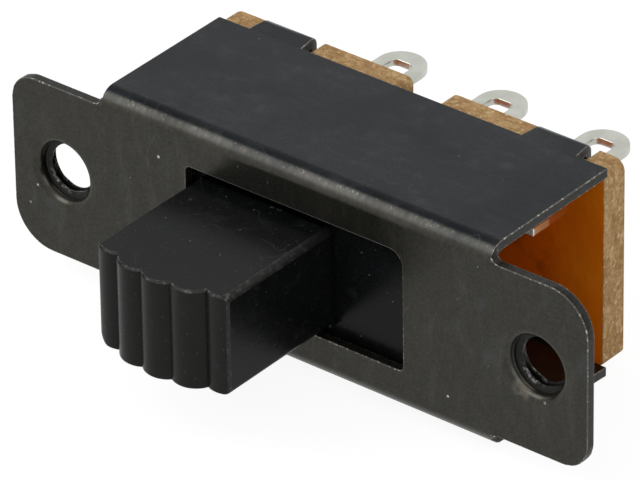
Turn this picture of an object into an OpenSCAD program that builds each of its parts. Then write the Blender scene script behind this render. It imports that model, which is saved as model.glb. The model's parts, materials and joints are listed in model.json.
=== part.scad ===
// Slide switch with a folded steel frame, two positions, three solder lugs.
// Millimetres. X runs along the switch, Y runs back from the panel face and Z is up.
// The origin is the middle of the two mounting holes, on the front of the plate.
// The knob stands at its left position, and travels towards +X.

/* [Frame sheet] */
// Thickness of the steel sheet
sheet_t = 0.5; // [0.4:0.05:0.6]
// Length of the front plate over both ears
plate_l = 34; // [33:0.5:40]
// Height of the ears
ear_h = 9.2; // [8.4:0.1:9.4]
// Radius of two opposite ear corners
ear_corner_small = 1.4; // [0.5:0.1:2.4]
// Radius of the other two ear corners
ear_corner_large = 2.2; // [0.5:0.1:3]
// Fillet where an ear meets the end of the body
ear_fillet = 0.4; // [0.2:0.05:0.6]
// Length of the folded body
body_l = 23; // [22.6:0.1:24]
// Height of the folded body over both walls
body_h = 10.8; // [10.6:0.1:11.6]
// Depth of the body, from the plate's face to the rear edge of its walls
body_d = 8.8; // [8.4:0.1:9.8]
// Outer radius of the two long bends
bend_r = 0.9; // [0.75:0.05:1.1]
// How far the lower wall leans outward by its rear edge
wall_flare = 0.5; // [0:0.05:0.6]

/* [Mounting holes] */
// Distance between the two mounting holes
hole_pitch = 28; // [27.4:0.1:29]
// Diameter of the tapped holes
hole_d = 3; // [2.5:0.1:3.2]
// Wall of the drawn collar behind each hole
collar_wall = 0.45; // [0.3:0.05:0.6]
// Height of the collar behind the sheet
collar_h = 0.8; // [0.4:0.05:1.2]
// Radius that rounds the front edge of each hole, where the sheet is drawn in
mouth_r = 0.4; // [0.1:0.05:0.5]

/* [Knob window] */
// Length of the window in the plate
window_l = 12.8; // [12.4:0.1:14]
// Height of the window
window_h = 6.4; // [6.1:0.1:7.4]
// Radius of three of the window's corners
window_r = 0.3; // [0.1:0.05:0.8]
// Radius of the window's upper right corner
window_r_wide = 0.8; // [0.1:0.05:1]

/* [Frame tabs] */
// Width of the tabs that hold the board
tab_w = 3.2; // [2.6:0.1:3.6]
// Distance from the middle of the switch to the middle of each tab
tab_x = 8.1; // [7.4:0.05:9]
// Length of each tab's hook behind the board
tab_hook = 1.6; // [1.2:0.1:2]
// Outer radius of the fold in each tab
tab_r = 0.5; // [0.2:0.05:0.5]
// How far each side of a tab draws in towards its fold
tab_taper = 0.3; // [0:0.05:0.5]

/* [Knob and slider] */
// Length of the knob along the travel
knob_l = 7.7; // [6.8:0.1:8]
// Height of the knob
knob_h = 5.3; // [5:0.1:5.9]
// How far the knob stands out of the plate
knob_out = 8.05; // [5:0.05:12]
// Spacing of the ribs on the knob's face
rib_pitch = 1.75; // [1.6:0.05:1.85]
// Radius of each rib
rib_r = 1.25; // [1.15:0.05:1.5]
// How far the outer grooves fall back from the middle ones
rib_crown = 0.5; // [0.2:0.01:0.6]
// Travel between the two positions
travel = 3.8; // [3:0.1:4.2]
// How far the slider's plate reaches past the window when it is at the far end
plate_lap = 0.45; // [0.3:0.05:0.6]
// Thickness of the slider's plate
slider_t = 2; // [1.5:0.1:2.4]
// Length of the slider's hub
hub_l = 6.4; // [6:0.1:7]
// Bevel on the slider plate's long edges
slider_bevel = 0.45; // [0.4:0.05:0.6]

/* [Contact clip] */
// Length of the clip that bridges two terminals
clip_l = 6; // [5:0.1:6.4]
// Thickness of the clip's spring sheet
clip_t = 0.25; // [0.2:0.05:0.3]
// Depth of the clip's arms
clip_d = 2.2; // [1.9:0.05:2.4]

/* [Detent] */
// Diameter of the detent ball
ball_d = 1.6; // [1.4:0.1:1.8]
// How far the ball reaches into the board's groove
ball_dip = 0.2; // [0.1:0.05:0.3]
// Height of the detent below the middle of the switch
detent_drop = 2.3; // [2:0.1:2.6]
// Wire of the detent spring
spring_wire = 0.25; // [0.2:0.05:0.3]
// Turns of the detent spring
spring_turns = 5.5; // [4:0.5:7]
// Depth of the spring's bore in the slider
spring_bore = 4.6; // [3.6:0.1:5.2]
// Wall around the spring's bore
boss_wall = 0.6; // [0.4:0.05:0.8]

/* [Terminal board] */
// Thickness of the board
board_t = 1.6; // [1.2:0.1:2]
// Length of the board
board_l = 23.2; // [21.5:0.1:24]
// Middle of the board along the switch
board_x = -0.3; // [-0.3:0.05:0.3]
// How far the board's long edges lap over the rear edges of the frame's walls
board_lap = 0.1; // [0.05:0.05:0.35]
// Radius of the board's upper corners
board_corner_top = 0.6; // [0.2:0.1:1]
// Radius of the board's lower corners
board_corner_low = 0.3; // [0.2:0.1:0.8]
// Depth of the recesses in the board's back that the hooks lie in
recess_d = 0.7; // [0.3:0.05:0.8]
// Width of the open notch in the board's upper edge
notch_w = 2.3; // [1:0.1:2.6]
// Middle of the open notch
notch_x = 0.1; // [-1:0.1:1]
// Depth of the open notch
notch_d = 1.1; // [0.6:0.05:1.6]

/* [Terminals] */
// Spacing of the three terminals
term_pitch = 6.05; // [5.8:0.05:6.3]
// Thickness of the terminal stampings
term_t = 0.4; // [0.3:0.05:0.5]
// Height of the terminals above the middle of the switch
term_z = 1.3; // [1.1:0.1:1.7]
// Width of the solder lugs
lug_w = 2.6; // [2:0.05:2.8]
// Length of the lugs behind the board
lug_l = 6.6; // [4:0.1:10]
// Width of the wire hole in each lug
eye_w = 1.25; // [0.8:0.05:1.3]
// Length of the wire hole
eye_l = 2; // [1:0.1:2.4]
// Metal left between the wire hole and the tip of the lug
eye_wall = 1; // [0.7:0.05:1.2]
// Corner radius of the wire hole
eye_r = 0.35; // [0.1:0.05:0.4]
// Width of the contact blades inside
blade_w = 4.3; // [4:0.1:5.2]
// How far the contact blades stand in front of the board
blade_out = 1.3; // [1:0.05:1.5]

/* [Clearances] */
// Gap between the slider and the frame
slide_gap = 0.2; // [0.1:0.01:0.25]
// Gap between the contact clip and the terminals, each side
contact_gap = 0.05; // [0.03:0.01:0.1]
// Gap around seated pieces
seat_gap = 0.03; // [0.02:0.01:0.05]
// Gap between the frame's tabs and the board
tab_gap = 0.15; // [0.05:0.01:0.2]
// Gap between the slider's back and what stands in front of the board
back_gap = 0.15; // [0.1:0.01:0.2]
// Gap between the detent's boss and the board
boss_gap = 0.3; // [0.2:0.01:0.4]

/* [Hidden] */
$fn = 48;
tiny = 0.01;

// Frame
wall_out = body_h / 2;
wall_in = wall_out - sheet_t;
bend_in = bend_r - sheet_t;
tab_xs = [-tab_x, tab_x];

// Terminal board: it stands against the rear edges of the frame's walls
board_front = body_d;
board_back = board_front + board_t;
board_top = wall_in + board_lap;
board_bottom = -board_top - wall_flare;
recess_floor = board_back - recess_d;

// Terminals
term_xs = [-term_pitch, 0, term_pitch];
blade_front = board_front - blade_out;
lug_tip = board_back + lug_l;

// Slider: its middle lies half the travel to the left at rest
rest_x = -travel / 2;
rib_root = rib_r / 8;
plate_front = sheet_t + slide_gap;
plate_back = plate_front + slider_t;
plate_half = window_l / 2 + travel / 2 + plate_lap;
plate_top = wall_in - slide_gap;
hub_back = blade_front - back_gap;

// Contact clip: its arms straddle the blades
arm_in = term_t / 2 + contact_gap;
arm_out = arm_in + clip_t;
clip_back = board_front - back_gap;
clip_front = clip_back - clip_d;
hub_top = term_z + arm_out + 1;

// Detent
ball_r = ball_d / 2;
ball_y = board_front + ball_dip - ball_r;
bore_r = ball_r + contact_gap;
boss_back = board_front - boss_gap;
bore_bottom = boss_back - spring_bore;
boss_r = bore_r + boss_wall;
coil_r = ball_r - spring_wire / 2 - contact_gap;
// The spring's back rests on the ball where its mean circle meets it
spring_back = ball_y - sqrt(pow(ball_r + spring_wire / 2, 2) - pow(coil_r, 2)) - spring_wire / 2 - tiny;
hub_bottom = -detent_drop - boss_r;

// Plain square of size s with one rounded corner, at the origin, pointing into +X +Y
module corner_cut(r) {
    difference() {
        translate([-tiny, -tiny]) square(r + tiny);
        translate([r, r]) circle(r);
    }
}

// Rectangle from corner a to corner b, with radii in the order
// lower left, lower right, upper left, upper right
module round_rect(a, b, radii) {
    difference() {
        translate(a) square(b - a);
        translate(a) corner_cut(radii[0]);
        translate([b[0], a[1]]) mirror([1, 0]) corner_cut(radii[1]);
        translate([a[0], b[1]]) mirror([0, 1]) corner_cut(radii[2]);
        translate(b) mirror([1, 0]) mirror([0, 1]) corner_cut(radii[3]);
    }
}

// Extrudes an outline drawn in X and Z from depth y0 back to depth y1
module slab(y0, y1) {
    translate([0, y1, 0]) rotate([90, 0, 0]) linear_extrude(y1 - y0) children();
}

// Extrudes a profile drawn in Y and Z along X, from x0 to x1
module rail(x0, x1) {
    translate([x0, 0, 0]) rotate([90, 0, 90]) linear_extrude(x1 - x0) children();
}

// Straight hole or pin along Y
module along_y(r, x, z, y0, y1) {
    translate([x, y0, z]) rotate([-90, 0, 0]) cylinder(r = r, h = y1 - y0);
}

// Frame ---------------------------------------------------------------

// Wedge below height z that the leaning lower wall adds, back to depth y
module flare_wedge(z, y) {
    slope = wall_flare / (body_d - bend_r);
    polygon([[bend_r, z + tiny], [bend_r, z], [y, z - slope * (y - bend_r)], [y, z + tiny]]);
}

module channel_profile() {
    difference() {
        union() {
            round_rect([0, -wall_out], [body_d, wall_out], [bend_r, tiny, bend_r, tiny]);
            flare_wedge(-wall_out, body_d);
        }
        difference() {
            translate([sheet_t, -wall_in]) square([body_d, 2 * wall_in]);
            translate([sheet_t, -wall_in]) corner_cut(bend_in);
            translate([sheet_t, wall_in]) mirror([0, 1]) corner_cut(bend_in);
        }
        flare_wedge(-wall_in, body_d + 1);
    }
}

module ear_outline() {
    round_rect([-plate_l / 2, -ear_h / 2], [plate_l / 2, ear_h / 2],
               [ear_corner_large, ear_corner_small, ear_corner_small, ear_corner_large]);
    for (side = [-1, 1], end = [-1, 1])
        scale([side, end]) translate([body_l / 2, ear_h / 2]) corner_cut(ear_fillet);
}

// One tab: it runs back over the board's edge and folds down behind it
module tab_profile() {
    hook_in = recess_floor + seat_gap;
    hook_out = hook_in + sheet_t;
    difference() {
        round_rect([body_d - tiny, wall_out - tab_hook], [hook_out, wall_out], [tiny, tiny, tiny, tab_r]);
        translate([body_d - 1, wall_out - tab_hook - 1])
            square([hook_in - body_d + 1, tab_hook + 1 - sheet_t]);
    }
}

// The tab at x from above: its sides draw in evenly behind the wall
module tab_plan(x) {
    half = tab_w / 2;
    tip = board_back + sheet_t;
    translate([x, 0, -wall_out - 1]) linear_extrude(2 * wall_out + 2) polygon([
        [-half, body_d - 1], [half, body_d - 1], [half, body_d],
        [half - tab_taper, tip], [tab_taper - half, tip], [-half, body_d]
    ]);
}

// What is taken out of the plate to round the front edge of a hole
module hole_mouth() {
    wide_r = hole_d / 2 + mouth_r;
    rotate([-90, 0, 0]) rotate_extrude() difference() {
        translate([0, -1]) square([wide_r, 1 + mouth_r]);
        translate([wide_r, mouth_r]) circle(mouth_r);
    }
}

module frame() {
    color([0.24, 0.24, 0.24]) difference() {
        union() {
            rail(-body_l / 2, body_l / 2) channel_profile();
            slab(0, sheet_t) ear_outline();
            for (x = tab_xs, low = [0, 1])
                translate([0, 0, -low * wall_flare]) mirror([0, 0, low]) intersection() {
                    rail(x - tab_w / 2, x + tab_w / 2) tab_profile();
                    tab_plan(x);
                }
            for (side = [-1, 1])
                along_y(hole_d / 2 + collar_wall, side * hole_pitch / 2, 0, sheet_t - tiny, sheet_t + collar_h);
        }
        for (side = [-1, 1]) {
            along_y(hole_d / 2, side * hole_pitch / 2, 0, -1, sheet_t + collar_h + 1);
            translate([side * hole_pitch / 2, 0, 0]) hole_mouth();
        }
        slab(-1, sheet_t + 1)
            round_rect([-window_l / 2, -window_h / 2], [window_l / 2, window_h / 2],
                       [window_r, window_r, window_r, window_r_wide]);
    }
}

// Terminal board -------------------------------------------------------

// Room for the tabs along both long edges, down to height z
module tab_room(z) {
    half = tab_w / 2 + tab_gap;
    for (x = tab_xs, low = [0, 1])
        translate([x - half, -low * wall_flare]) mirror([0, low])
            translate([0, z]) square([2 * half, board_top - z + 1]);
}

module board_outline() {
    difference() {
        round_rect([board_x - board_l / 2, board_bottom], [board_x + board_l / 2, board_top],
                   [board_corner_low, board_corner_low, board_corner_top, board_corner_top]);
        tab_room(wall_in - tab_gap);
        translate([notch_x - notch_w / 2, board_top - notch_d]) square([notch_w, notch_d + 1]);
    }
}

module terminal_board() {
    color([0.72, 0.55, 0.33]) difference() {
        slab(board_front, board_back) board_outline();
        slab(recess_floor, board_back + 1) tab_room(wall_out - tab_hook - tab_gap);
        for (x = term_xs)
            translate([x - lug_w / 2 - seat_gap, board_front - 1, term_z - term_t / 2 - seat_gap])
                cube([lug_w + 2 * seat_gap, board_t + 2, term_t + 2 * seat_gap]);
        // Groove for the detent ball, with a deeper pocket at each position
        translate([rest_x, ball_y, -detent_drop]) rotate([0, 90, 0]) cylinder(r = bore_r, h = travel);
        for (x = [rest_x, rest_x + travel])
            translate([x, ball_y, -detent_drop]) sphere(r = ball_r + 4 * contact_gap);
    }
}

// Terminals -------------------------------------------------------------

module terminal(x) {
    tip_r = lug_w / 2;
    translate([x, 0, term_z - term_t / 2]) linear_extrude(term_t) difference() {
        union() {
            translate([-blade_w / 2, blade_front]) square([blade_w, blade_out]);
            translate([-tip_r, board_front - tiny]) square([lug_w, lug_tip - tip_r - board_front + tiny]);
            translate([0, lug_tip - tip_r]) circle(tip_r);
        }
        round_rect([-eye_w / 2, lug_tip - eye_wall - eye_l], [eye_w / 2, lug_tip - eye_wall],
                   [eye_r, eye_r, eye_r, eye_r]);
    }
}

module terminal_left() {
    color([0.76, 0.77, 0.74]) terminal(term_xs[0]);
}

module terminal_centre() {
    color([0.76, 0.77, 0.74]) terminal(term_xs[1]);
}

module terminal_right() {
    color([0.76, 0.77, 0.74]) terminal(term_xs[2]);
}

// Slider ------------------------------------------------------------------

// Place of the groove beside a rib, on a crown that falls back to both sides
function groove(x) =
    let (inner = rib_r - knob_out - sqrt(pow(rib_r, 2) - pow(rib_pitch / 2, 2)))
    [x, inner + rib_crown * (pow(x / rib_pitch, 2) - 0.25) / 2];

// Middle of the arc of radius rib_r that runs from groove a to groove b
function rib_middle(a, b) =
    let (chord = b - a, reach = sqrt(pow(rib_r, 2) - pow(norm(chord) / 2, 2)))
    (a + b) / 2 + [-chord[1], chord[0]] / norm(chord) * reach;

// The knob seen from above: its face is a row of five ribs between grooves
module knob_outline() {
    grooves = [for (i = [-2.5 : 2.5]) groove(i * rib_pitch)];
    core = [for (g = grooves) g + [0, rib_root]];
    back = plate_front + tiny;
    intersection() {
        translate([-knob_l / 2, -knob_out - 1]) square([knob_l, knob_out + 1 + back]);
        union() {
            polygon(concat(core, [[2.5 * rib_pitch, back], [-2.5 * rib_pitch, back]]));
            for (i = [0 : 4]) translate(rib_middle(grooves[i], grooves[i + 1])) circle(rib_r);
        }
    }
}

module plate_profile() {
    polygon([
        [plate_front, -plate_top + slider_bevel],
        [plate_front, plate_top - slider_bevel],
        [plate_front + slider_bevel, plate_top],
        [plate_back, plate_top],
        [plate_back, -plate_top],
        [plate_front + slider_bevel, -plate_top]
    ]);
}

module slider() {
    color([0.14, 0.14, 0.14]) translate([rest_x, 0, 0]) difference() {
        union() {
            translate([0, 0, -knob_h / 2]) linear_extrude(knob_h) knob_outline();
            rail(-plate_half, plate_half) plate_profile();
            translate([-hub_l / 2, plate_back - tiny, hub_bottom])
                cube([hub_l, hub_back - plate_back + tiny, hub_top - hub_bottom]);
            along_y(boss_r, 0, -detent_drop, plate_back, boss_back);
        }
        // Pocket that holds the contact clip
        translate([-clip_l / 2 - seat_gap, clip_front, term_z - arm_out - seat_gap])
            cube([clip_l + 2 * seat_gap, hub_back - clip_front + 1, 2 * (arm_out + seat_gap)]);
        along_y(bore_r, 0, -detent_drop, bore_bottom, boss_back + 1);
    }
}

module contact_clip() {
    color([0.80, 0.62, 0.34]) rail(rest_x - clip_l / 2, rest_x + clip_l / 2) difference() {
        translate([clip_front, term_z - arm_out]) square([clip_d, 2 * arm_out]);
        translate([clip_front + clip_t, term_z - arm_in]) square([clip_d, 2 * arm_in]);
    }
}

// Detent ---------------------------------------------------------------------

module detent_ball() {
    color([0.75, 0.75, 0.77]) translate([rest_x, ball_y, -detent_drop]) sphere(r = ball_r);
}

// Round wire swept along a helix, from bore_bottom to spring_back, axis along Y
module detent_spring() {
    sides = 6;
    steps = round(spring_turns * 10);
    rise = spring_back - bore_bottom - spring_wire;
    wire_r = spring_wire / 2;
    ring = function(i) let (turn = 360 * spring_turns * i / steps) [
        for (k = [0 : sides - 1])
            let (out = coil_r + wire_r * cos(360 * k / sides), up = wire_r * sin(360 * k / sides))
            [out * cos(turn), bore_bottom + wire_r + rise * i / steps + up, out * sin(turn)]
    ];
    points = [for (i = [0 : steps]) each ring(i)];
    walls = [for (i = [0 : steps - 1], k = [0 : sides - 1])
        let (n = (k + 1) % sides)
        [i * sides + k, i * sides + n, (i + 1) * sides + n, (i + 1) * sides + k]];
    caps = [[for (k = [sides - 1 : -1 : 0]) k], [for (k = [0 : sides - 1]) steps * sides + k]];
    color([0.66, 0.67, 0.70]) translate([rest_x, 0, -detent_drop])
        polyhedron(points, concat(walls, caps));
}

frame();
terminal_board();
slider();
contact_clip();
detent_spring();
detent_ball();
terminal_left();
terminal_centre();
terminal_right();
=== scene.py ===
import json
import math

import bpy
from mathutils.bvhtree import BVHTree
from mathutils import Matrix, Vector

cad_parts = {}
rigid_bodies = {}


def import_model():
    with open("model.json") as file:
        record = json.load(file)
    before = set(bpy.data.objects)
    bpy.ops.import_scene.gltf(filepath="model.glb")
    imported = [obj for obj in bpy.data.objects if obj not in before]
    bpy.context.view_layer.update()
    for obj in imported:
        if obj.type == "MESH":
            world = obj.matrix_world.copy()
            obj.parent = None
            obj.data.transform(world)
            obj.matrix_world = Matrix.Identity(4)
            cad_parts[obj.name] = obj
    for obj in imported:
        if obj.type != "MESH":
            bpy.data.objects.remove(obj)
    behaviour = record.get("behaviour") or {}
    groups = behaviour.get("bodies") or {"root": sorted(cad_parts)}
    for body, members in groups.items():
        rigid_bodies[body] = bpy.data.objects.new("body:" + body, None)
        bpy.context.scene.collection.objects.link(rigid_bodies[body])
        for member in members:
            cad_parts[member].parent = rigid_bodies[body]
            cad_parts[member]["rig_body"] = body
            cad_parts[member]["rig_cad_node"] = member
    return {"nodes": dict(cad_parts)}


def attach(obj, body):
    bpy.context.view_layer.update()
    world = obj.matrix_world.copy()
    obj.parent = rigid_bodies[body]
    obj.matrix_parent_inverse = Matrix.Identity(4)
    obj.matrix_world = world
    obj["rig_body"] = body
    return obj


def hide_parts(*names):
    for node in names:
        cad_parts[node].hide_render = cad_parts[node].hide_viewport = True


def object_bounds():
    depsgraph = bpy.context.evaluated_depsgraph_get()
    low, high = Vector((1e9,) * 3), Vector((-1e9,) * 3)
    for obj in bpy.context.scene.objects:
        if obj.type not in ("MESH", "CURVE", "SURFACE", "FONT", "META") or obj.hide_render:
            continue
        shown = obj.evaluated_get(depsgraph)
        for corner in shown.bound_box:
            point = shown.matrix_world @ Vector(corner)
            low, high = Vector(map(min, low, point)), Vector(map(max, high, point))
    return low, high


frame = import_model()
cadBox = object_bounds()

mm = 0.001
near = 0.01  # mm, closer than this counts as on the same line
holeX = 14  # mm from the middle to each mounting hole
print("frame loaded:", len(frame["nodes"]), "nodes")


# shader helpers

class Signal:  # a node's output that takes part in sums, so that a mask reads as an expression
    def __init__(self, nodes, socket):
        self.nodes, self.socket = nodes, socket

    def join(self, operation, first, second):
        return self.nodes.add("ShaderNodeMath", {"operation": operation}, {0: first, 1: second})

    def __add__(self, other):
        return self.join("ADD", self, other)

    def __sub__(self, other):
        return self.join("SUBTRACT", self, other)

    def __rsub__(self, other):
        return self.join("SUBTRACT", other, self)

    def __mul__(self, other):
        return self.join("MULTIPLY", self, other)

    def __pow__(self, other):
        return self.join("POWER", self, other)

    def __or__(self, other):
        return self.join("MAXIMUM", self, other)

    __radd__ = __add__
    __rmul__ = __mul__


class Nodes:  # the nodes of a material or a world, fixed values go on its own shader's sockets
    def __init__(self, owner, **fixed):
        owner.use_nodes = True
        self.tree = owner.node_tree
        for node in self.tree.nodes:
            if node.outputs:
                self.shader = node
            else:
                self.output = node
        for socket, value in fixed.items():
            self.shader.inputs[socket.replace("_", " ")].default_value = value
        self.plain = Signal(self, self.shader.outputs[0])

    def add(self, kind, settings={}, sockets={}, output=0):
        node = self.tree.nodes.new(kind)
        for name, value in settings.items():
            setattr(node, name, value)
        for name, value in sockets.items():
            if isinstance(value, Signal):
                self.tree.links.new(value.socket, node.inputs[name])
            else:
                node.inputs[name].default_value = value
        return Signal(self, node.outputs[output])

    def seenAs(self, white):  # white to the camera and in reflections, plain light otherwise
        camera, glossy, clear = (self.add("ShaderNodeLightPath", output="Is " + ray + " Ray")
                                 for ray in ("Camera", "Glossy", "Transmission"))
        blend = self.add("ShaderNodeMixShader", {}, {0: camera | glossy | clear, 1: self.plain, 2: white})
        self.tree.links.new(blend.socket, self.output.inputs["Surface"])


class Finish(Nodes):  # one material on Object coordinates, in millimetres
    def __init__(self, name, **fixed):
        self.material = bpy.data.materials.new(name)
        super().__init__(self.material, **fixed)
        metres = self.add("ShaderNodeTexCoord", output="Object")
        self.place = self.stretch(metres, (1 / mm, 1 / mm, 1 / mm))
        self.x, self.y, self.z = (
            self.add("ShaderNodeSeparateXYZ", {}, {0: self.place}, axis) for axis in "XYZ")

    def unsigned(self, value):
        return self.add("ShaderNodeMath", {"operation": "ABSOLUTE"}, {0: value})

    def stretch(self, vector, scale, shift=(0, 0, 0), turn=(0, 0, 0)):
        return self.add("ShaderNodeMapping", {}, {
            "Vector": vector, "Scale": scale, "Location": shift, "Rotation": [math.radians(a) for a in turn]})

    def noise(self, scale, detail, rough, grain=(1, 1, 1), shift=(0, 0, 0), turn=(0, 0, 0)):
        spot = self.stretch(self.place, grain, shift, turn)
        return self.add("ShaderNodeTexNoise", {}, {
            "Vector": spot, "Scale": scale, "Detail": detail, "Roughness": rough}, "Fac")

    def step(self, value, low, high, start=0, end=1):  # smooth step from start to end
        return self.add("ShaderNodeMapRange", {"interpolation_type": "SMOOTHSTEP"}, {
            0: value, 1: low, 2: high, 3: start, 4: end})

    def band(self, value, low, high, soft):  # 1 between low and high, with soft ends
        return self.step(value, low - soft, low + soft) * self.step(value, high - soft, high + soft, 1, 0)

    def blob(self, centre, size, soft):  # a round patch in X and Z, size is its radius
        across = self.x - centre[0]
        up = self.z - centre[1]
        return self.step(across * across + up * up, (size * (1 - soft)) ** 2, (size * (1 + soft)) ** 2, 1, 0)

    def dust(self, perMm, size, share, shift=(0, 0, 0)):  # scattered specks
        spot = self.stretch(self.place, (1, 1, 1), shift)
        close = self.add("ShaderNodeTexVoronoi", {}, {"Vector": spot, "Scale": perMm}, "Distance")
        pick = self.add("ShaderNodeTexVoronoi", {}, {"Vector": spot, "Scale": perMm}, "Color")
        chance = self.add("ShaderNodeSeparateColor", {}, {0: pick}, "Red")
        reach = size * perMm
        return self.step(close, reach * 0.6, reach, 1, 0) * self.step(chance, 1 - share - 0.001, 1 - share)

    def fromHole(self):  # how far past the nearer hole's axis in X, and how far from that axis
        across = self.unsigned(self.x) - holeX
        return across, (across * across + self.z * self.z) ** 0.5

    def mix(self, mask, first, second):
        ends = {6: tint(first), 7: tint(second)}
        return self.add("ShaderNodeMix", {"data_type": "RGBA"}, {0: mask, **ends}, 2)

    def bump(self, height, distance, strength):
        return self.add("ShaderNodeBump", {}, {
            "Height": height, "Distance": distance * mm, "Strength": strength}, "Normal")

    def wear(self, **varying):  # links what changes over the surface to the shader
        for name, value in varying.items():
            self.tree.links.new(value.socket, self.shader.inputs[name.replace("_", " ")])
        return self.material


def tint(colour):  # screen colour 0-255 to a linear colour, signals pass through
    if isinstance(colour, Signal):
        return colour
    linear = [c / 255 / 12.92 if c <= 10.3 else ((c / 255 + 0.055) / 1.055) ** 2.4 for c in colour]
    return (*linear, 1)


# modelling helpers

def onlyThis(piece):
    if bpy.context.mode != "OBJECT":
        bpy.ops.object.mode_set(mode="OBJECT")
    bpy.ops.object.select_all(action="DESELECT")
    piece.select_set(True)
    bpy.context.view_layer.objects.active = piece


def editEdges():
    bpy.ops.object.mode_set(mode="EDIT")
    bpy.context.tool_settings.mesh_select_mode = (False, True, False)


def mergedCopy(node, name, tiny=0.02):  # a copy of a CAD node, its triangles joined into whole faces
    onlyThis(frame["nodes"][node])
    bpy.ops.object.duplicate()
    piece = bpy.context.view_layer.objects.active
    piece.name = piece.data.name = name
    piece.data.materials.clear()
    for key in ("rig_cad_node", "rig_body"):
        del piece[key]
    piece.parent = None
    bpy.ops.mesh.customdata_custom_splitnormals_clear()
    editEdges()
    bpy.ops.mesh.select_all(action="SELECT")
    bpy.ops.mesh.mark_sharp(clear=True)
    bpy.ops.mesh.remove_doubles(threshold=0.002 * mm)
    bpy.ops.mesh.dissolve_degenerate(threshold=tiny * mm)
    bpy.ops.mesh.dissolve_limited(angle_limit=math.radians(0.5))
    bpy.ops.mesh.normals_make_consistent(inside=False)
    bpy.ops.object.mode_set(mode="OBJECT")
    return piece


def edgeEnds(mesh, edge):  # in millimetres
    return [mesh.vertices[i].co / mm for i in edge.vertices]


def bevelEdges(piece, chosen, width, segments, strip):  # chosen are the edges' indices
    onlyThis(piece)
    mesh = piece.data
    for part in (mesh.vertices, mesh.edges, mesh.polygons):
        part.foreach_set("select", [False] * len(part))
    for index in chosen:
        mesh.edges[index].select = True
    editEdges()
    bpy.ops.mesh.bevel(offset=width * mm, segments=segments, profile=0.5, affect="EDGES",
                       clamp_overlap=False, material=strip)
    bpy.ops.object.mode_set(mode="OBJECT")


def roundEdges(piece, wanted, width, segments, strip):  # bevels the edges whose two ends pass the test
    mesh = piece.data
    chosen = [edge.index for edge in mesh.edges if wanted(*edgeEnds(mesh, edge))]
    bevelEdges(piece, chosen, width, segments, strip)


def breakSharp(piece, width, segments=2, strip=-1, keep=None):
    # bevels every edge sharper than 40 degrees, apart from those whose middle is kept
    mesh = piece.data
    shape = BVHTree.FromPolygons([v.co for v in mesh.vertices], [face.vertices for face in mesh.polygons])
    onlyThis(piece)
    editEdges()
    bpy.ops.mesh.select_all(action="DESELECT")
    bpy.ops.mesh.edges_select_sharp(sharpness=math.radians(40))
    bpy.ops.object.mode_set(mode="OBJECT")
    sharp = [edge for edge in mesh.edges if edge.select]
    chosen = [edge.index for edge in sharp if not (keep and keep(sum(edgeEnds(mesh, edge), Vector()) / 2))]
    bevelEdges(piece, chosen, width, segments, strip)
    for vertex in mesh.vertices:  # a corner that ran past its neighbours goes back to the surface
        nearest, normal, index, away = shape.find_nearest(vertex.co)
        if away > 1.02 * width * mm:
            vertex.co = nearest


def applied(piece, kind, **settings):
    onlyThis(piece)
    modifier = piece.modifiers.new(kind.title(), kind)
    for name, value in settings.items():
        setattr(modifier, name, value)
    bpy.ops.object.modifier_apply(modifier=modifier.name)


def smooth(piece, angle=40):
    onlyThis(piece)
    bpy.ops.object.shade_smooth_by_angle(angle=math.radians(angle))
    applied(piece, "WEIGHTED_NORMAL", mode="FACE_AREA", keep_sharp=True)


def paintFaces(piece, index, wanted):  # gives a material slot to the faces that pass the test
    for face in piece.data.polygons:
        if wanted(face.center / mm, face.normal):
            face.material_index = index


def settle(piece, body, slot, *nodes):
    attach(piece, body)
    if nodes:
        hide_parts(*nodes)
    triangles = sum(len(face.vertices) - 2 for face in piece.data.polygons)
    print("piece ready:", piece.name, triangles, "triangles")


# camera

def placeCamera():
    view = {"azimuth": 39.156, "elevation": 31.524, "roll": -0.899, "distance": 350,
            "lens": 428.8, "sensor": 36, "clip": (0.01, 10), "aim": (1.6415, -0.0437, 2.167)}
    turn, lift, roll = (math.radians(view[k]) for k in ("azimuth", "elevation", "roll"))
    back = Vector((math.sin(turn) * math.cos(lift), -math.cos(turn) * math.cos(lift), math.sin(lift)))
    level = Vector((math.cos(turn), math.sin(turn), 0))
    upright = back.cross(level)
    right = level * math.cos(roll) + upright * math.sin(roll)
    up = upright * math.cos(roll) - level * math.sin(roll)
    spot = (Vector(view["aim"]) + back * view["distance"]) * mm
    bpy.ops.object.camera_add(location=spot)
    camera = bpy.context.object
    camera.name = "productCamera"
    camera.data.lens, camera.data.sensor_width = view["lens"], view["sensor"]
    camera.data.clip_start, camera.data.clip_end = view["clip"]
    camera.matrix_world = Matrix.Translation(spot) @ Matrix((right, up, back)).transposed().to_4x4()
    bpy.context.scene.camera = camera
    print("camera placed")


# light, floor and background

def softLamp(name, direction, distance, size, power):  # an area lamp that faces the part
    spot = Vector(direction).normalized() * distance * mm
    bpy.ops.object.light_add(type="AREA", location=spot)
    lamp = bpy.context.object
    lamp.name = name
    lamp.data.shape = "DISK"
    lamp.data.size = size * mm
    lamp.data.energy = power
    lamp.rotation_euler = spot.to_track_quat("Z", "Y").to_euler()


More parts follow.
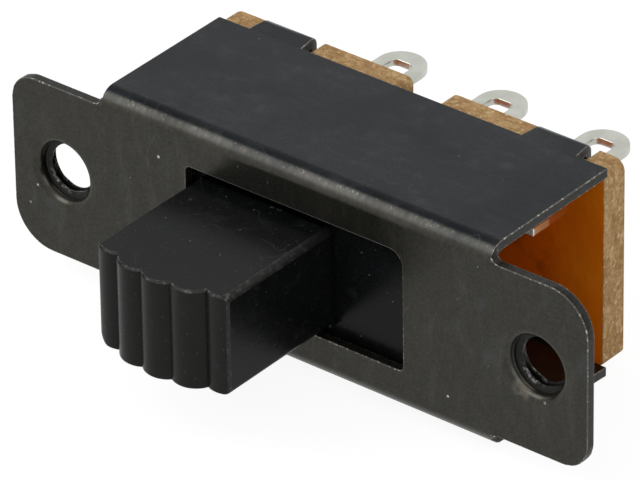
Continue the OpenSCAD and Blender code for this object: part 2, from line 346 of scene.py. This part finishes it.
def lightStudio():
    studio = {"white": (1, 1, 1, 1), "world": 0.72, "floorSize": 3, "floorTone": (0.8, 0.8, 0.8, 1),
              "floorRough": 0.9, "floorGlow": 1.085, "floorShade": 0.16}
    lamps = {"keyLamp": {"direction": (-0.54, -0.62, 0.75), "distance": 260, "size": 170, "power": 0.26},
             "fillLamp": {"direction": (0.85, -0.45, 0.45), "distance": 260, "size": 200, "power": 0.13}}
    bpy.context.scene.view_settings.view_transform = "Standard"
    world = bpy.data.worlds.new("paleStudio")
    bpy.context.scene.world = world
    sky = Nodes(world, Color=studio["white"], Strength=studio["world"])
    sky.seenAs(sky.add("ShaderNodeBackground", {}, {"Color": studio["white"]}))

    for name, lamp in lamps.items():
        softLamp(name, **lamp)

    bpy.ops.mesh.primitive_plane_add(size=studio["floorSize"], location=(0, 0, cadBox[0].z))
    floor = bpy.context.object
    floor.name = "paleFloor"
    material = bpy.data.materials.new("paleFloorFinish")
    ground = Nodes(material, Base_Color=studio["floorTone"], Roughness=studio["floorRough"],
                   Specular_IOR_Level=0)
    glow = ground.add("ShaderNodeEmission", {}, {"Strength": studio["floorGlow"]})
    # a share of the plain floor in the white keeps some of the shadow under the part
    ground.seenAs(ground.add("ShaderNodeMixShader", {}, {0: studio["floorShade"], 1: glow, 2: ground.plain}))
    floor.data.materials.append(material)
    print("lights and floor placed")


# finishes

def blackSteel():  # thin satin black on sheet steel, rubbed lighter along the two long bends, with a painted highlight over that rubbing and painted shade beside it
    look = {"olive": (56, 55, 50), "bluishReflection": (28, 32, 37), "dark": (40, 40, 37), "light": (81, 80, 74),
            "scratch": (52, 56, 60), "far": (16, 18, 21), "shade": (22, 22, 21), "rubAndSheen": (112, 109, 101),
            "fleck": (176, 172, 160), "speck": (196, 192, 178), "mouthGlint": (136, 129, 118),
            "dew": (72, 76, 84), "hair": (92, 90, 84), "mouthLight": (92, 91, 86), "bore": (17, 17, 15)}
    marks = (((-8.01, 3.09), 0.07, 0.8), ((-15.57, -1.2), 0.06, 0.6), ((-16.06, -2.32), 0.06, 0.35),
             ((9.01, -3.5), 0.06, 0.8), ((12.53, 0.02), 0.07, 0.45), ((14.57, -1.7), 0.07, 0.3),
             ((-3.23, 4.3), 0.05, 0.25), ((-1.45, 4.1), 0.05, 0.22))  # place in X and Z, size, strength
    f = Finish("blackSteel", Specular_IOR_Level=0.2, Metallic=0.85)
    cloud = f.noise(0.33, 4, 0.6)
    mottle = f.noise(1.4, 5, 0.68)
    grain = f.noise(6.5, 4, 0.72)
    smear = f.noise(0.9, 5, 0.7, grain=(1, 1, 0.3), turn=(0, 18, 0))
    # the top wall is painted bluish, a painted reflection of the light from above; random clouds carry a
    # little of it onto the plate
    topside = f.step(f.z, 4.7, 5.3)
    base = f.mix(f.step(topside * 0.75 + cloud * 0.5, 0.3, 0.85), look["olive"], look["bluishReflection"])
    base = f.mix((1 - f.step(mottle, 0.36, 0.7)) * (0.45 - 0.3 * topside), base, look["dark"])
    base = f.mix(f.step(grain, 0.42, 0.75) * (0.4 - 0.25 * topside), base, look["light"])
    base = f.mix(f.step(smear, 0.5, 0.7) * (0.3 - 0.12 * topside), base, look["light"])
    scratch = f.noise(3.5, 4, 0.7, grain=(0.12, 1, 1), turn=(0, 0, 24), shift=(3, 7, 1))
    base = f.mix(f.step(scratch, 0.5, 0.68) * topside * 0.3, base, look["scratch"])
    far = f.step(f.noise(0.22, 3, 0.55, shift=(5, 5, 5)), 0.4, 0.62)
    base = f.mix(far * topside * 0.5, base, look["far"])
    # the bends: arc runs from -0.9 at the plate to 0.9 at the wall
    height = f.unsigned(f.z)
    arc = f.y + height - 5.4
    onBend = f.step(f.y, 0.8, 1.0, 1, 0) * f.step(height, 4.4, 4.6)
    crown = f.step(arc, 0.16, 0.42, 1, 0) * f.step(arc, -0.85, 0.1) * onBend
    shade = f.band(arc, 0.5, 1.0, 0.14) * onBend
    base = f.mix(shade * 0.28, base, look["shade"])
    streak = f.noise(3.2, 4, 0.75, grain=(1, 0.3, 0.3))
    fleck = f.noise(9.5, 3, 0.65, grain=(1, 0.6, 0.6), shift=(3, 1, 7))
    long = f.noise(0.45, 3, 0.6, grain=(1, 0.2, 0.2), shift=(7, 0, 2))
    patchy = (0.62 + 0.45 * f.step(long, 0.35, 0.65)) * f.step(f.x, 3, 9, 1, 0.82)
    # the bends' crown is painted lighter: real rubbing, together with a painted highlight of the lamp
    base = f.mix(crown * (0.6 + 0.4 * f.step(streak, 0.34, 0.7)) * patchy * 0.4, base, look["rubAndSheen"])
    chips = crown * f.step(arc, -0.3, 0.1) * f.step(fleck, 0.58, 0.74)
    base = f.mix(chips * patchy * 0.4, base, look["fleck"])
    # dust all over, and single specks on the plate's face
    specks = f.dust(0.9, 0.05, 0.14) + f.dust(1.7, 0.028, 0.12, (3.3, 1.7, 9.1))
    base = f.mix(f.step(specks, 0.2, 0.8) * 0.7, base, look["speck"])
    face = f.step(f.y, 0.02, 0.06, 1, 0)
    for spot, size, amount in marks:
        base = f.mix(f.blob(spot, size, 0.4) * face * amount, base, look["speck"])
    # a painted glint on the lower left of the right hole's rounded mouth
    low = f.step(f.y, 0.3, 0.45, 1, 0)
    mouthGlint = f.blob((13.25, -1.5), 0.34, 0.9) * f.step(f.noise(1.8, 4, 0.7), 0.3, 0.6) * low
    base = f.mix(mouthGlint * 0.4, base, look["mouthGlint"])
    dew = f.step(f.noise(0.55, 4, 0.62, grain=(1, 1, 0.6), shift=(6, 2, 8)), 0.56, 0.74) * face
    base = f.mix(dew * 0.3, base, look["dew"])
    hair = f.band(f.noise(0.6, 1, 0.3, grain=(1, 1, 0.4), shift=(2, 8, 5)), 0.497, 0.503, 0.004)
    hair = hair * f.step(f.noise(0.5, 2, 0.5, shift=(9, 9, 1)), 0.54, 0.62)
    base = f.mix(hair * 0.3, base, look["hair"])
    # the holes' mouths are painted lighter, painted light that keeps them at the plate's tone, and the bores
    # behind them are painted dark, painted shade
    radius = f.fromHole()[1]
    mouthLight = f.step(radius, 1.52, 1.76, 1, 0) * f.step(f.y, 0.4, 0.55, 1, 0)
    bore = f.step(radius, 1.54, 1.6, 1, 0) * f.step(f.y, 0.4, 0.52)
    base = f.mix(mouthLight * 0.15, base, look["mouthLight"])
    base = f.mix(bore * 0.7, base, look["bore"])
    rough = 0.2 + 0.12 * grain + 0.07 * mottle + 0.12 * crown
    pits = grain * 0.6 + mottle * 0.4
    return f.wear(Base_Color=base, Roughness=rough, Normal=f.bump(pits, 0.02, 0.35))


def cutSteel():  # the sheet's sheared faces, under the same black
    look = {"dark": (22, 22, 20), "light": (42, 41, 38)}
    f = Finish("cutSteel", Specular_IOR_Level=0.3, Metallic=0.5)
    shear = f.noise(6, 3, 0.7, grain=(1, 0.35, 1))
    base = f.mix(f.step(shear, 0.35, 0.7), look["dark"], look["light"])
    return f.wear(Base_Color=base, Roughness=0.36 + 0.15 * shear, Normal=f.bump(shear, 0.02, 0.5))


def threadSteel():  # thread flanks, blackened, with bare crests that are painted bright only low on the left, a painted glint
    look = {"black": (26, 26, 24), "bright": (158, 158, 158)}
    f = Finish("threadSteel", Specular_IOR_Level=0.4, Metallic=0.75)
    across, radius = f.fromHole()
    chatter = f.noise(2.9, 4, 0.7)
    side = across * f.step(f.x, -1, 1, -1, 1)  # X from the axis, the same way round in both holes
    # the crests are painted bright only low on the left, a painted glint where the light falls; the bare
    # crests are real wear
    low = f.step(f.z + side * 0.6, -1.45, -1.05, 1, 0.08)
    bare = f.step(radius, 1.24, 1.4, 1, 0) * f.step(chatter, 0.46, 0.62) * low
    base = f.mix(bare * 0.6, look["black"], look["bright"])
    return f.wear(Base_Color=base, Roughness=0.34 - 0.1 * bare, Normal=f.bump(chatter, 0.02, 0.4))


def wornSteel():  # the sheet's corners, where the black has rubbed through in dots
    look = {"edge": (62, 60, 55), "bright": (196, 190, 176), "lip": (98, 97, 94)}
    f = Finish("wornSteel", Specular_IOR_Level=0.5)
    dots = f.noise(5.5, 3, 0.7)
    long = f.noise(0.8, 2, 0.5, shift=(2, 5, 1))
    calm = f.step(f.x, 16.6, 16.9) * f.step(f.z, 0.2, 2.2, 1, 0)  # the right ear's end is hardly rubbed
    inside = f.band(f.x, -6.7, -6.1, 0.1) * f.band(f.z, -3.3, 3.3, 0.1)  # nor is the window's left edge
    bare = f.step(dots, 0.5, 0.66) * f.step(long, 0.3, 0.6, 0.35, 1) * (1 - 0.65 * calm) * (1 - 0.85 * inside)
    base = f.mix(bare, look["edge"], look["bright"])
    # the window's upper edge is painted lighter, a painted highlight along its rounded lip
    lip = f.band(f.z, 3, 3.4, 0.03) * f.band(f.x, -6.2, 6.2, 0.3)
    base = f.mix(lip * 0.8, base, look["lip"])
    return f.wear(Base_Color=base, Metallic=bare * 0.5, Roughness=0.45 - 0.1 * bare)


def blackMoulding():  # satin black plastic with a fine grain and a little dust
    look = {"deep": (9, 10, 10), "plain": (12, 13, 14), "grain": (20, 21, 21), "ribs": (29, 29, 27),
            "haze": (38, 40, 41), "speck": (100, 102, 101), "faint": (92, 92, 88), "hair": (92, 96, 100)}
    f = Finish("blackMoulding", Specular_IOR_Level=0.1, Metallic=0.0)
    grain = f.noise(9, 3, 0.6)
    cloud = f.noise(0.5, 3, 0.6)
    base = f.mix(f.step(cloud, 0.35, 0.7), look["deep"], look["plain"])
    base = f.mix(f.step(grain, 0.4, 0.8) * 0.5, base, look["grain"])
    # the ribbed front is painted lighter, a painted highlight where the light falls on it
    ribs = f.step(f.y, -7.1, -6.9, 1, 0) * f.step(f.unsigned(f.z), 2.5, 2.62, 1, 0)
    base = f.mix(ribs * (0.5 + 0.4 * cloud), base, look["ribs"])
    haze = f.step(f.noise(1.1, 5, 0.72, shift=(2, 9, 4)), 0.52, 0.78)
    base = f.mix(haze * 0.35, base, look["haze"])
    specks = f.dust(1.7, 0.055, 0.34) + f.dust(3.1, 0.03, 0.22, (5, 2, 1))
    base = f.mix(f.step(specks, 0.1, 0.9) * 0.55, base, look["speck"])
    faint = f.dust(2.4, 0.05, 0.5, (7, 4, 2)) * f.step(f.y, -0.6, 0.2, 1, 0)
    base = f.mix(f.step(faint, 0.1, 0.9) * 0.28, base, look["faint"])
    hair = f.band(f.noise(0.7, 1, 0.3, shift=(8, 1, 3)), 0.498, 0.502, 0.003)
    hair = hair * f.step(f.noise(0.35, 1, 0.3, shift=(1, 6, 2)), 0.52, 0.6) * f.step(f.z, 2.5, 2.64)
    base = f.mix(hair * 0.4, base, look["hair"])
    rough = 0.2 + 0.12 * grain + 0.1 * haze
    return f.wear(Base_Color=base, Roughness=rough, Normal=f.bump(grain, 0.01, 0.3))


def scuffedMoulding():  # the knob's edges, polished and nicked by fingers, with painted shade towards the plate and on the right side
    look = {"dark": (18, 18, 17), "light": (30, 30, 28), "rear": (9, 9, 9), "side": (10, 10, 10),
            "scuff": (114, 110, 101)}
    f = Finish("scuffedMoulding", Specular_IOR_Level=0.28, Metallic=0.0)
    nicks = f.noise(3.4, 5, 0.75)
    front = f.step(f.y, -6.6, -5.2, 1, 0.3) * f.step(f.y, -2.2, 0.2, 1, 0)
    top = f.step(f.z, 1.9, 2.5, 0.25, 1)
    scuff = f.step(nicks, 0.5, 0.68) * front * top
    # the right side is painted darker, painted shade, broken up by the nicks
    side = f.step(f.x, 1.5, 1.8) * (0.85 - 0.5 * f.step(nicks, 0.4, 0.62))
    base = f.mix(f.step(f.noise(1.2, 3, 0.6), 0.35, 0.7), look["dark"], look["light"])
    # the knob is painted darker towards the plate, a painted reflection of the dark plate
    base = f.mix(f.step(f.y, -3, -0.6), base, look["rear"])
    base = f.mix(side, base, look["side"])
    base = f.mix(scuff * 0.65, base, look["scuff"])
    return f.wear(Base_Color=base, Roughness=0.5 - 0.12 * scuff, Normal=f.bump(nicks, 0.03, 0.45))


def boardFace():  # glossy orange-brown resin face, with painted shade where it lies in the housing's corner
    look = {"amber": (216, 106, 10), "pale": (224, 120, 18), "weave": (190, 86, 6), "deep": (230, 82, 3),
            "cornerShade": (120, 44, 6)}
    f = Finish("boardFace", Metallic=0.0, Specular_IOR_Level=0.5)
    cloud = f.noise(0.3, 3, 0.55)
    weave = f.noise(3.5, 3, 0.6, grain=(1, 1, 0.3))
    cornerShade = f.noise(0.8, 4, 0.6, shift=(4, 0, 2))
    base = f.mix(f.step(cloud, 0.3, 0.7), look["amber"], look["pale"])
    base = f.mix(f.step(weave, 0.4, 0.75) * 0.25, base, look["weave"])
    # painted shade in the corner inside the housing, darker still in patches
    deep = f.step(f.x, 6.5, 10.6, 1, 0) * f.step(f.x, 0, 5) * f.step(f.y, 9.2, 9.6, 1, 0)
    base = f.mix(deep * 0.6, base, look["deep"])
    base = f.mix(deep * f.step(cornerShade, 0.45, 0.7) * 0.5, base, look["cornerShade"])
    return f.wear(Base_Color=base, Roughness=0.1 + 0.08 * weave, Normal=f.bump(weave, 0.008, 0.3))


def boardEdge():  # pale fibrous layers where the board is punched out
    look = {"brown": (158, 121, 76), "straw": (200, 167, 120), "clump": (134, 98, 56),
            "fibre": (122, 90, 52), "fleck": (216, 192, 154)}
    f = Finish("boardEdge", Metallic=0.0, Specular_IOR_Level=0.25)
    layers = f.noise(1.1, 4, 0.7, grain=(1, 2.4, 1))
    clump = f.noise(2.6, 5, 0.75, shift=(1, 5, 3))
    fibre = f.noise(8, 4, 0.75, grain=(1, 1.6, 1))
    fleck = f.noise(4.2, 3, 0.6, shift=(4, 4, 4))
    base = f.mix(f.step(layers, 0.3, 0.7), look["brown"], look["straw"])
    base = f.mix(f.step(clump, 0.42, 0.62) * 0.6, base, look["clump"])
    base = f.mix(f.step(fibre, 0.4, 0.68) * 0.5, base, look["fibre"])
    base = f.mix(f.step(fleck, 0.56, 0.72) * 0.75, base, look["fleck"])
    fuzz = fibre * 0.4 + clump * 0.6
    return f.wear(Base_Color=base, Roughness=0.78 + 0.15 * fibre, Normal=f.bump(fuzz, 0.12, 0.8))


def tinnedLug():  # satin tin plating, a little yellow and uneven, bronze on the blade inside, with a painted light on the blade's tip
    look = {"dull": (184, 185, 176), "bright": (197, 199, 191), "stain": (168, 165, 150),
            "blade": (222, 170, 118), "tip": (255, 250, 238)}
    f = Finish("tinnedLug")
    cloud = f.noise(0.9, 4, 0.6)
    grain = f.noise(8, 3, 0.6)
    blade = f.step(f.y, 8.6, 8.9, 1, 0)
    base = f.mix(f.step(cloud, 0.3, 0.7), look["dull"], look["bright"])
    base = f.mix(f.step(grain, 0.55, 0.8) * 0.35, base, look["stain"])
    base = f.mix(blade, base, look["blade"])
    # the blade's tip is painted near white, a painted light where the light reaches into the housing
    base = f.mix(f.step(f.y, 7.58, 7.64, 1, 0), base, look["tip"])
    uneven = cloud * 0.7 + grain * 0.3
    return f.wear(Base_Color=base, Metallic=1 - 0.65 * blade, Roughness=0.26 + 0.14 * grain,
                  Normal=f.bump(uneven, 0.02, 0.35))


def springBronze():  # rolled bronze sheet with faint rolling lines
    look = {"brown": (196, 150, 84), "gold": (224, 184, 116)}
    f = Finish("springBronze", Metallic=1.0)
    lines = f.noise(9, 3, 0.6, grain=(0.12, 1, 1))
    base = f.mix(f.step(lines, 0.35, 0.7), look["brown"], look["gold"])
    return f.wear(Base_Color=base, Roughness=0.24 + 0.14 * lines, Normal=f.bump(lines, 0.006, 0.3))


def brightSteel():  # polished steel of the ball and its spring
    look = {"grey": (176, 178, 182), "bright": (206, 207, 210)}
    f = Finish("brightSteel", Metallic=1.0)
    haze = f.noise(6, 4, 0.65)
    base = f.mix(f.step(haze, 0.35, 0.7), look["grey"], look["bright"])
    return f.wear(Base_Color=base, Roughness=0.16 + 0.16 * haze, Normal=f.bump(haze, 0.004, 0.3))


finishes = {make.__name__: make() for make in (
    blackSteel, cutSteel, threadSteel, wornSteel, blackMoulding, scuffedMoulding, boardFace, boardEdge,
    tinnedLug, springBronze, brightSteel)}
print("finishes made:", len(finishes))


def dress(piece, *names):
    piece.data.materials.clear()
    for name in names:
        piece.data.materials.append(finishes[name])


# sheet steel frame

def makeFrame():
    sheet = {"thickness": 0.5, "edgeBreak": 0.05, "tiny": 0.03, "windowTop": 3.2, "lip": 0.2, "lipSteps": 3,
             "lipFrom": 2, "collarOut": 2.1, "collarKeep": 2.2, "wallRear": 8.8, "rearSlack": 0.1}
    piece = mergedCopy("frame", "steelFrame", tiny=sheet["tiny"])
    dress(piece, "blackSteel", "cutSteel", "wornSteel")

    def fromBore(point):
        return math.hypot(abs(point.x) - holeX, point.z)

    def isCut(centre, normal):
        offHole = fromBore(centre) > sheet["collarOut"]
        rim = 0 < centre.y < sheet["thickness"] and abs(normal.y) < 0.3 and offHole
        end = abs(normal.x) > 0.9 and centre.y > sheet["thickness"] and offHole
        rear = normal.y > 0.9 and abs(centre.y - sheet["wallRear"]) < sheet["rearSlack"]
        return rim or end or rear
    paintFaces(piece, 1, isCut)

    def isLip(a, b):  # the window's upper edge, rubbed wider than the rest
        level = all(abs(p.z - sheet["windowTop"]) < near and abs(p.y) < near for p in (a, b))
        return level and abs(a.x - b.x) > sheet["lipFrom"]
    roundEdges(piece, isLip, sheet["lip"], sheet["lipSteps"], strip=2)
    breakSharp(piece, sheet["edgeBreak"], strip=2, keep=lambda middle: fromBore(middle) < sheet["collarKeep"])
    smooth(piece)
    settle(piece, "housing", "black_steel", "frame")


# threads cut in the two mounting bores

def makeThreads():
    thread = {"root": 1.54, "crest": 1.2, "rootHalf": 0.17, "crestHalf": 0.03, "pitch": 0.42,
              "first": 0.5, "last": 1.13, "stepsPerTurn": 48, "fadeSteps": 8}
    turns = (thread["last"] - thread["first"]) / thread["pitch"]
    steps = round(thread["stepsPerTurn"] * turns)
    # a tooth's four corners, two sunk in the wall and two at the crest
    tooth = [(thread["root"], -thread["rootHalf"]), (thread["root"], thread["rootHalf"]),
             (thread["crest"], thread["crestHalf"]), (thread["crest"], -thread["crestHalf"])]
    ridges = []
    for side in (-1, 1):
        bpy.ops.object.select_all(action="DESELECT")
        bpy.ops.mesh.primitive_circle_add(vertices=4, radius=mm, fill_type="NOTHING")
        ridge = bpy.context.object
        for vertex, (out, along) in zip(ridge.data.vertices, tooth):
            vertex.co = Vector((out, along + thread["first"], 0)) * mm
        applied(ridge, "SCREW", axis="Y", angle=math.tau * turns, screw_offset=thread["pitch"] * turns * mm,
                steps=steps, render_steps=steps, use_merge_vertices=True)
        # the tooth sinks into the wall over its first and last steps
        root, last = thread["root"] * mm, len(ridge.data.vertices) // 4 - 1
        for index, vertex in enumerate(ridge.data.vertices):
            step = index // 4
            rise = min(1, step / thread["fadeSteps"], (last - step) / thread["fadeSteps"])
            out = math.hypot(vertex.co.x, vertex.co.z)
            if out < root - 0.05 * mm:
                scale = (root + (out - root) * rise) / out
                vertex.co.x, vertex.co.z = vertex.co.x * scale, vertex.co.z * scale
        editEdges()
        bpy.ops.mesh.select_all(action="SELECT")
        bpy.ops.transform.translate(value=(side * holeX * mm, 0, 0))
        bpy.ops.mesh.select_all(action="DESELECT")
        bpy.ops.mesh.select_non_manifold()
        bpy.ops.mesh.edge_face_add()
        bpy.ops.mesh.select_all(action="SELECT")
        bpy.ops.mesh.normals_make_consistent(inside=False)
        bpy.ops.object.mode_set(mode="OBJECT")
        ridges.append(ridge)
    onlyThis(ridges[0])
    ridges[1].select_set(True)
    bpy.ops.object.join()
    piece = bpy.context.object
    piece.name = piece.data.name = "boreThreads"
    dress(piece, "threadSteel")
    smooth(piece, 30)
    settle(piece, "housing", "black_steel")


# laminated terminal board

def makeBoard():
    board = {"top": 5.0, "foot": -5.5, "right": 11.3, "notch": (-1.05, 1.25), "slack": 0.05,
             "corner": 0.35, "cornerSteps": 5, "edgeBreak": 0.05}
    piece = mergedCopy("terminal_board", "terminalBoard")
    dress(piece, "boardFace", "boardEdge")
    paintFaces(piece, 1, lambda centre, normal: abs(normal.y) <= 0.7)

    def isPunched(a, b):  # the notch's two upper corners and the board's lower right one
        slack = board["slack"]
        straight = abs(a.y - b.y) > 1 and abs(a.x - b.x) < near
        atNotch = a.z > board["top"] - slack and min(abs(a.x - x) for x in board["notch"]) < slack
        atFoot = a.z < board["foot"] + slack and abs(a.x - board["right"]) < slack
        return straight and (atNotch or atFoot)
    roundEdges(piece, isPunched, board["corner"], board["cornerSteps"], strip=1)
    breakSharp(piece, board["edgeBreak"], strip=1)
    smooth(piece)
    settle(piece, "housing", "phenolic_board", "terminal_board")


# slider with its ribbed knob

def ribLine(knob):  # the knob's outline from above: scallops on a crowned row, then its two sides
    middle, pitch, radius = (knob["left"] + knob["right"]) / 2, knob["ribPitch"], knob["ribRadius"]
    inner = radius + knob["front"] - math.sqrt(radius ** 2 - (pitch / 2) ** 2)

    def groove(x):
        return Vector((middle + x, inner + knob["ribCrown"] * ((x / pitch) ** 2 - 0.25) / 2))
    line = []
    for rib in range(knob["ribs"]):
        start, end = (groove((rib + k - knob["ribs"] / 2) * pitch) for k in (0, 1))
        chord = end - start
        reach = math.sqrt(radius ** 2 - (chord.length / 2) ** 2)
        centre = (start + end) / 2 + Vector((-chord.y, chord.x)).normalized() * reach
        first, last = (math.atan2((spot - centre).x, (centre - spot).y) for spot in (start, end))
        for part in range(knob["ribSteps"]):
            turn = first + (last - first) * part / knob["ribSteps"]
            spot = centre + Vector((math.sin(turn), -math.cos(turn))) * radius
            if knob["left"] + knob["ribGap"] < spot.x < knob["right"] - knob["ribGap"]:
                line.append(spot)
        for side in ("left", "right"):  # the outer scallops stop at the knob's sides
            away = knob[side] - centre.x
            if abs(away) < radius and min(start.x, end.x) < knob[side] < max(start.x, end.x):
                corner = Vector((knob[side], centre.y - math.sqrt(radius ** 2 - away ** 2)))
                line.insert(0 if side == "left" else len(line), corner)
    return line + [Vector((knob["right"], knob["root"])), Vector((knob["left"], knob["root"]))]


def softenCorner(piece, corner, outward, radius):  # turns a square corner in X and Z into a round one
    cuts = 4
    onlyThis(piece)
    bpy.ops.object.mode_set(mode="EDIT")
    for part in range(cuts):
        for axis, edge, sign in zip((0, 2), corner, outward):
            across = [0, 0, 0]
            across[axis] = 1
            place = (edge - sign * radius * (1 - part / cuts)) * mm
            bpy.ops.mesh.select_all(action="SELECT")
            bpy.ops.mesh.bisect(plane_co=[place * c for c in across], plane_no=across, threshold=1e-8)
    bpy.ops.object.mode_set(mode="OBJECT")
    for vertex in piece.data.vertices:
        u = 1 + (vertex.co.x / mm - corner[0]) * outward[0] / radius
        v = 1 + (vertex.co.z / mm - corner[1]) * outward[1] / radius
        if u > 0 and v > 0:
            vertex.co.x = (corner[0] + outward[0] * radius * (u * math.sqrt(1 - v * v / 2) - 1)) * mm
            vertex.co.z = (corner[1] + outward[1] * radius * (v * math.sqrt(1 - u * u / 2) - 1)) * mm


def makeSlider():
    knob = {"left": -5.75, "right": 1.95, "half": 2.65, "front": -8.05, "cutAt": 0.3, "root": 1.2,
            "ribs": 5, "ribPitch": 1.75, "ribRadius": 1.25, "ribCrown": 0.5, "ribSteps": 16, "ribGap": 0.03,
            "edge": 0.12, "edgeSteps": 3, "sideEdge": 0.4, "lowCorner": 0.6, "lowEdge": 0.3}
    carrier = mergedCopy("slider", "sliderKnob")
    # the plain knob is cut off in front of the plate, and the ribbed one takes its place
    bpy.ops.object.mode_set(mode="EDIT")
    bpy.ops.mesh.select_all(action="SELECT")
    bpy.ops.mesh.bisect(plane_co=(0, knob["cutAt"] * mm, 0), plane_no=(0, 1, 0), use_fill=True,
                        clear_inner=True, threshold=1e-7)
    bpy.ops.object.mode_set(mode="OBJECT")
    dress(carrier, "blackMoulding", "scuffedMoulding")

    line = ribLine(knob)
    bpy.ops.object.select_all(action="DESELECT")
    bpy.ops.mesh.primitive_circle_add(vertices=len(line), radius=mm, fill_type="NGON")
    piece = bpy.context.object
    for vertex, spot in zip(piece.data.vertices, line):
        vertex.co = Vector((spot.x, spot.y, -knob["half"])) * mm
    bpy.ops.object.mode_set(mode="EDIT")
    bpy.ops.mesh.select_all(action="SELECT")
    bpy.ops.mesh.extrude_region_move(TRANSFORM_OT_translate={"value": (0, 0, 2 * knob["half"] * mm)})
    bpy.ops.mesh.select_all(action="SELECT")
    bpy.ops.mesh.normals_make_consistent(inside=False)
    bpy.ops.object.mode_set(mode="OBJECT")
    dress(piece, "blackMoulding", "scuffedMoulding")

    def isRim(a, b):
        level = abs(a.z - b.z) < near and abs(abs(a.z) - knob["half"]) < near
        side = abs(a.x - b.x) < near and min(abs(a.x - knob["left"]), abs(a.x - knob["right"])) < near
        upright = abs(a.z - b.z) > 1 and side
        return min(a.y, b.y) < knob["root"] - near and (level or upright)
    roundEdges(piece, isRim, knob["edge"], knob["edgeSteps"], strip=1)
    softenCorner(piece, (knob["left"], -knob["half"]), (-1, -1), knob["lowCorner"])
    softenCorner(piece, (knob["right"], -knob["half"]), (1, -1), knob["lowEdge"])
    softenCorner(piece, (knob["right"], knob["half"]), (1, 1), knob["sideEdge"])
    # scuffed along the upper right edge, and plain underneath and on the upper left
    paintFaces(piece, 1, lambda centre, normal: normal.x > 0.2 and normal.z > 0.2)
    paintFaces(piece, 0, lambda centre, normal: normal.z < -0.2 or (normal.x < -0.2 and normal.z > 0.2))
    onlyThis(carrier)
    piece.select_set(True)
    bpy.ops.object.join()
    smooth(carrier, 35)
    settle(carrier, "slider", "black_moulding", "slider")


# terminals, contact clip, detent

def makeTerminals():
    lug = {"edgeBreak": 0.06, "edgeSteps": 3}
    for side in ("left", "centre", "right"):
        piece = mergedCopy("terminal_" + side, side + "Lug")
        dress(piece, "tinnedLug")
        breakSharp(piece, lug["edgeBreak"], lug["edgeSteps"])
        smooth(piece)
        settle(piece, "housing", "tinned_lug", "terminal_" + side)


def makeClip():
    clip = {"edgeBreak": 0.04}
    piece = mergedCopy("contact_clip", "contactClip")
    dress(piece, "springBronze")
    breakSharp(piece, clip["edgeBreak"])
    smooth(piece)
    settle(piece, "slider", "contact_bronze", "contact_clip")


def finishDetent():  # the CAD's own ball and spring, with a better material
    for node in ("detent_ball", "detent_spring"):
        dress(frame["nodes"][node], "brightSteel")
    print("detent finished")


placeCamera()
lightStudio()
makeFrame()
makeThreads()
makeBoard()
makeSlider()
makeTerminals()
makeClip()
finishDetent()
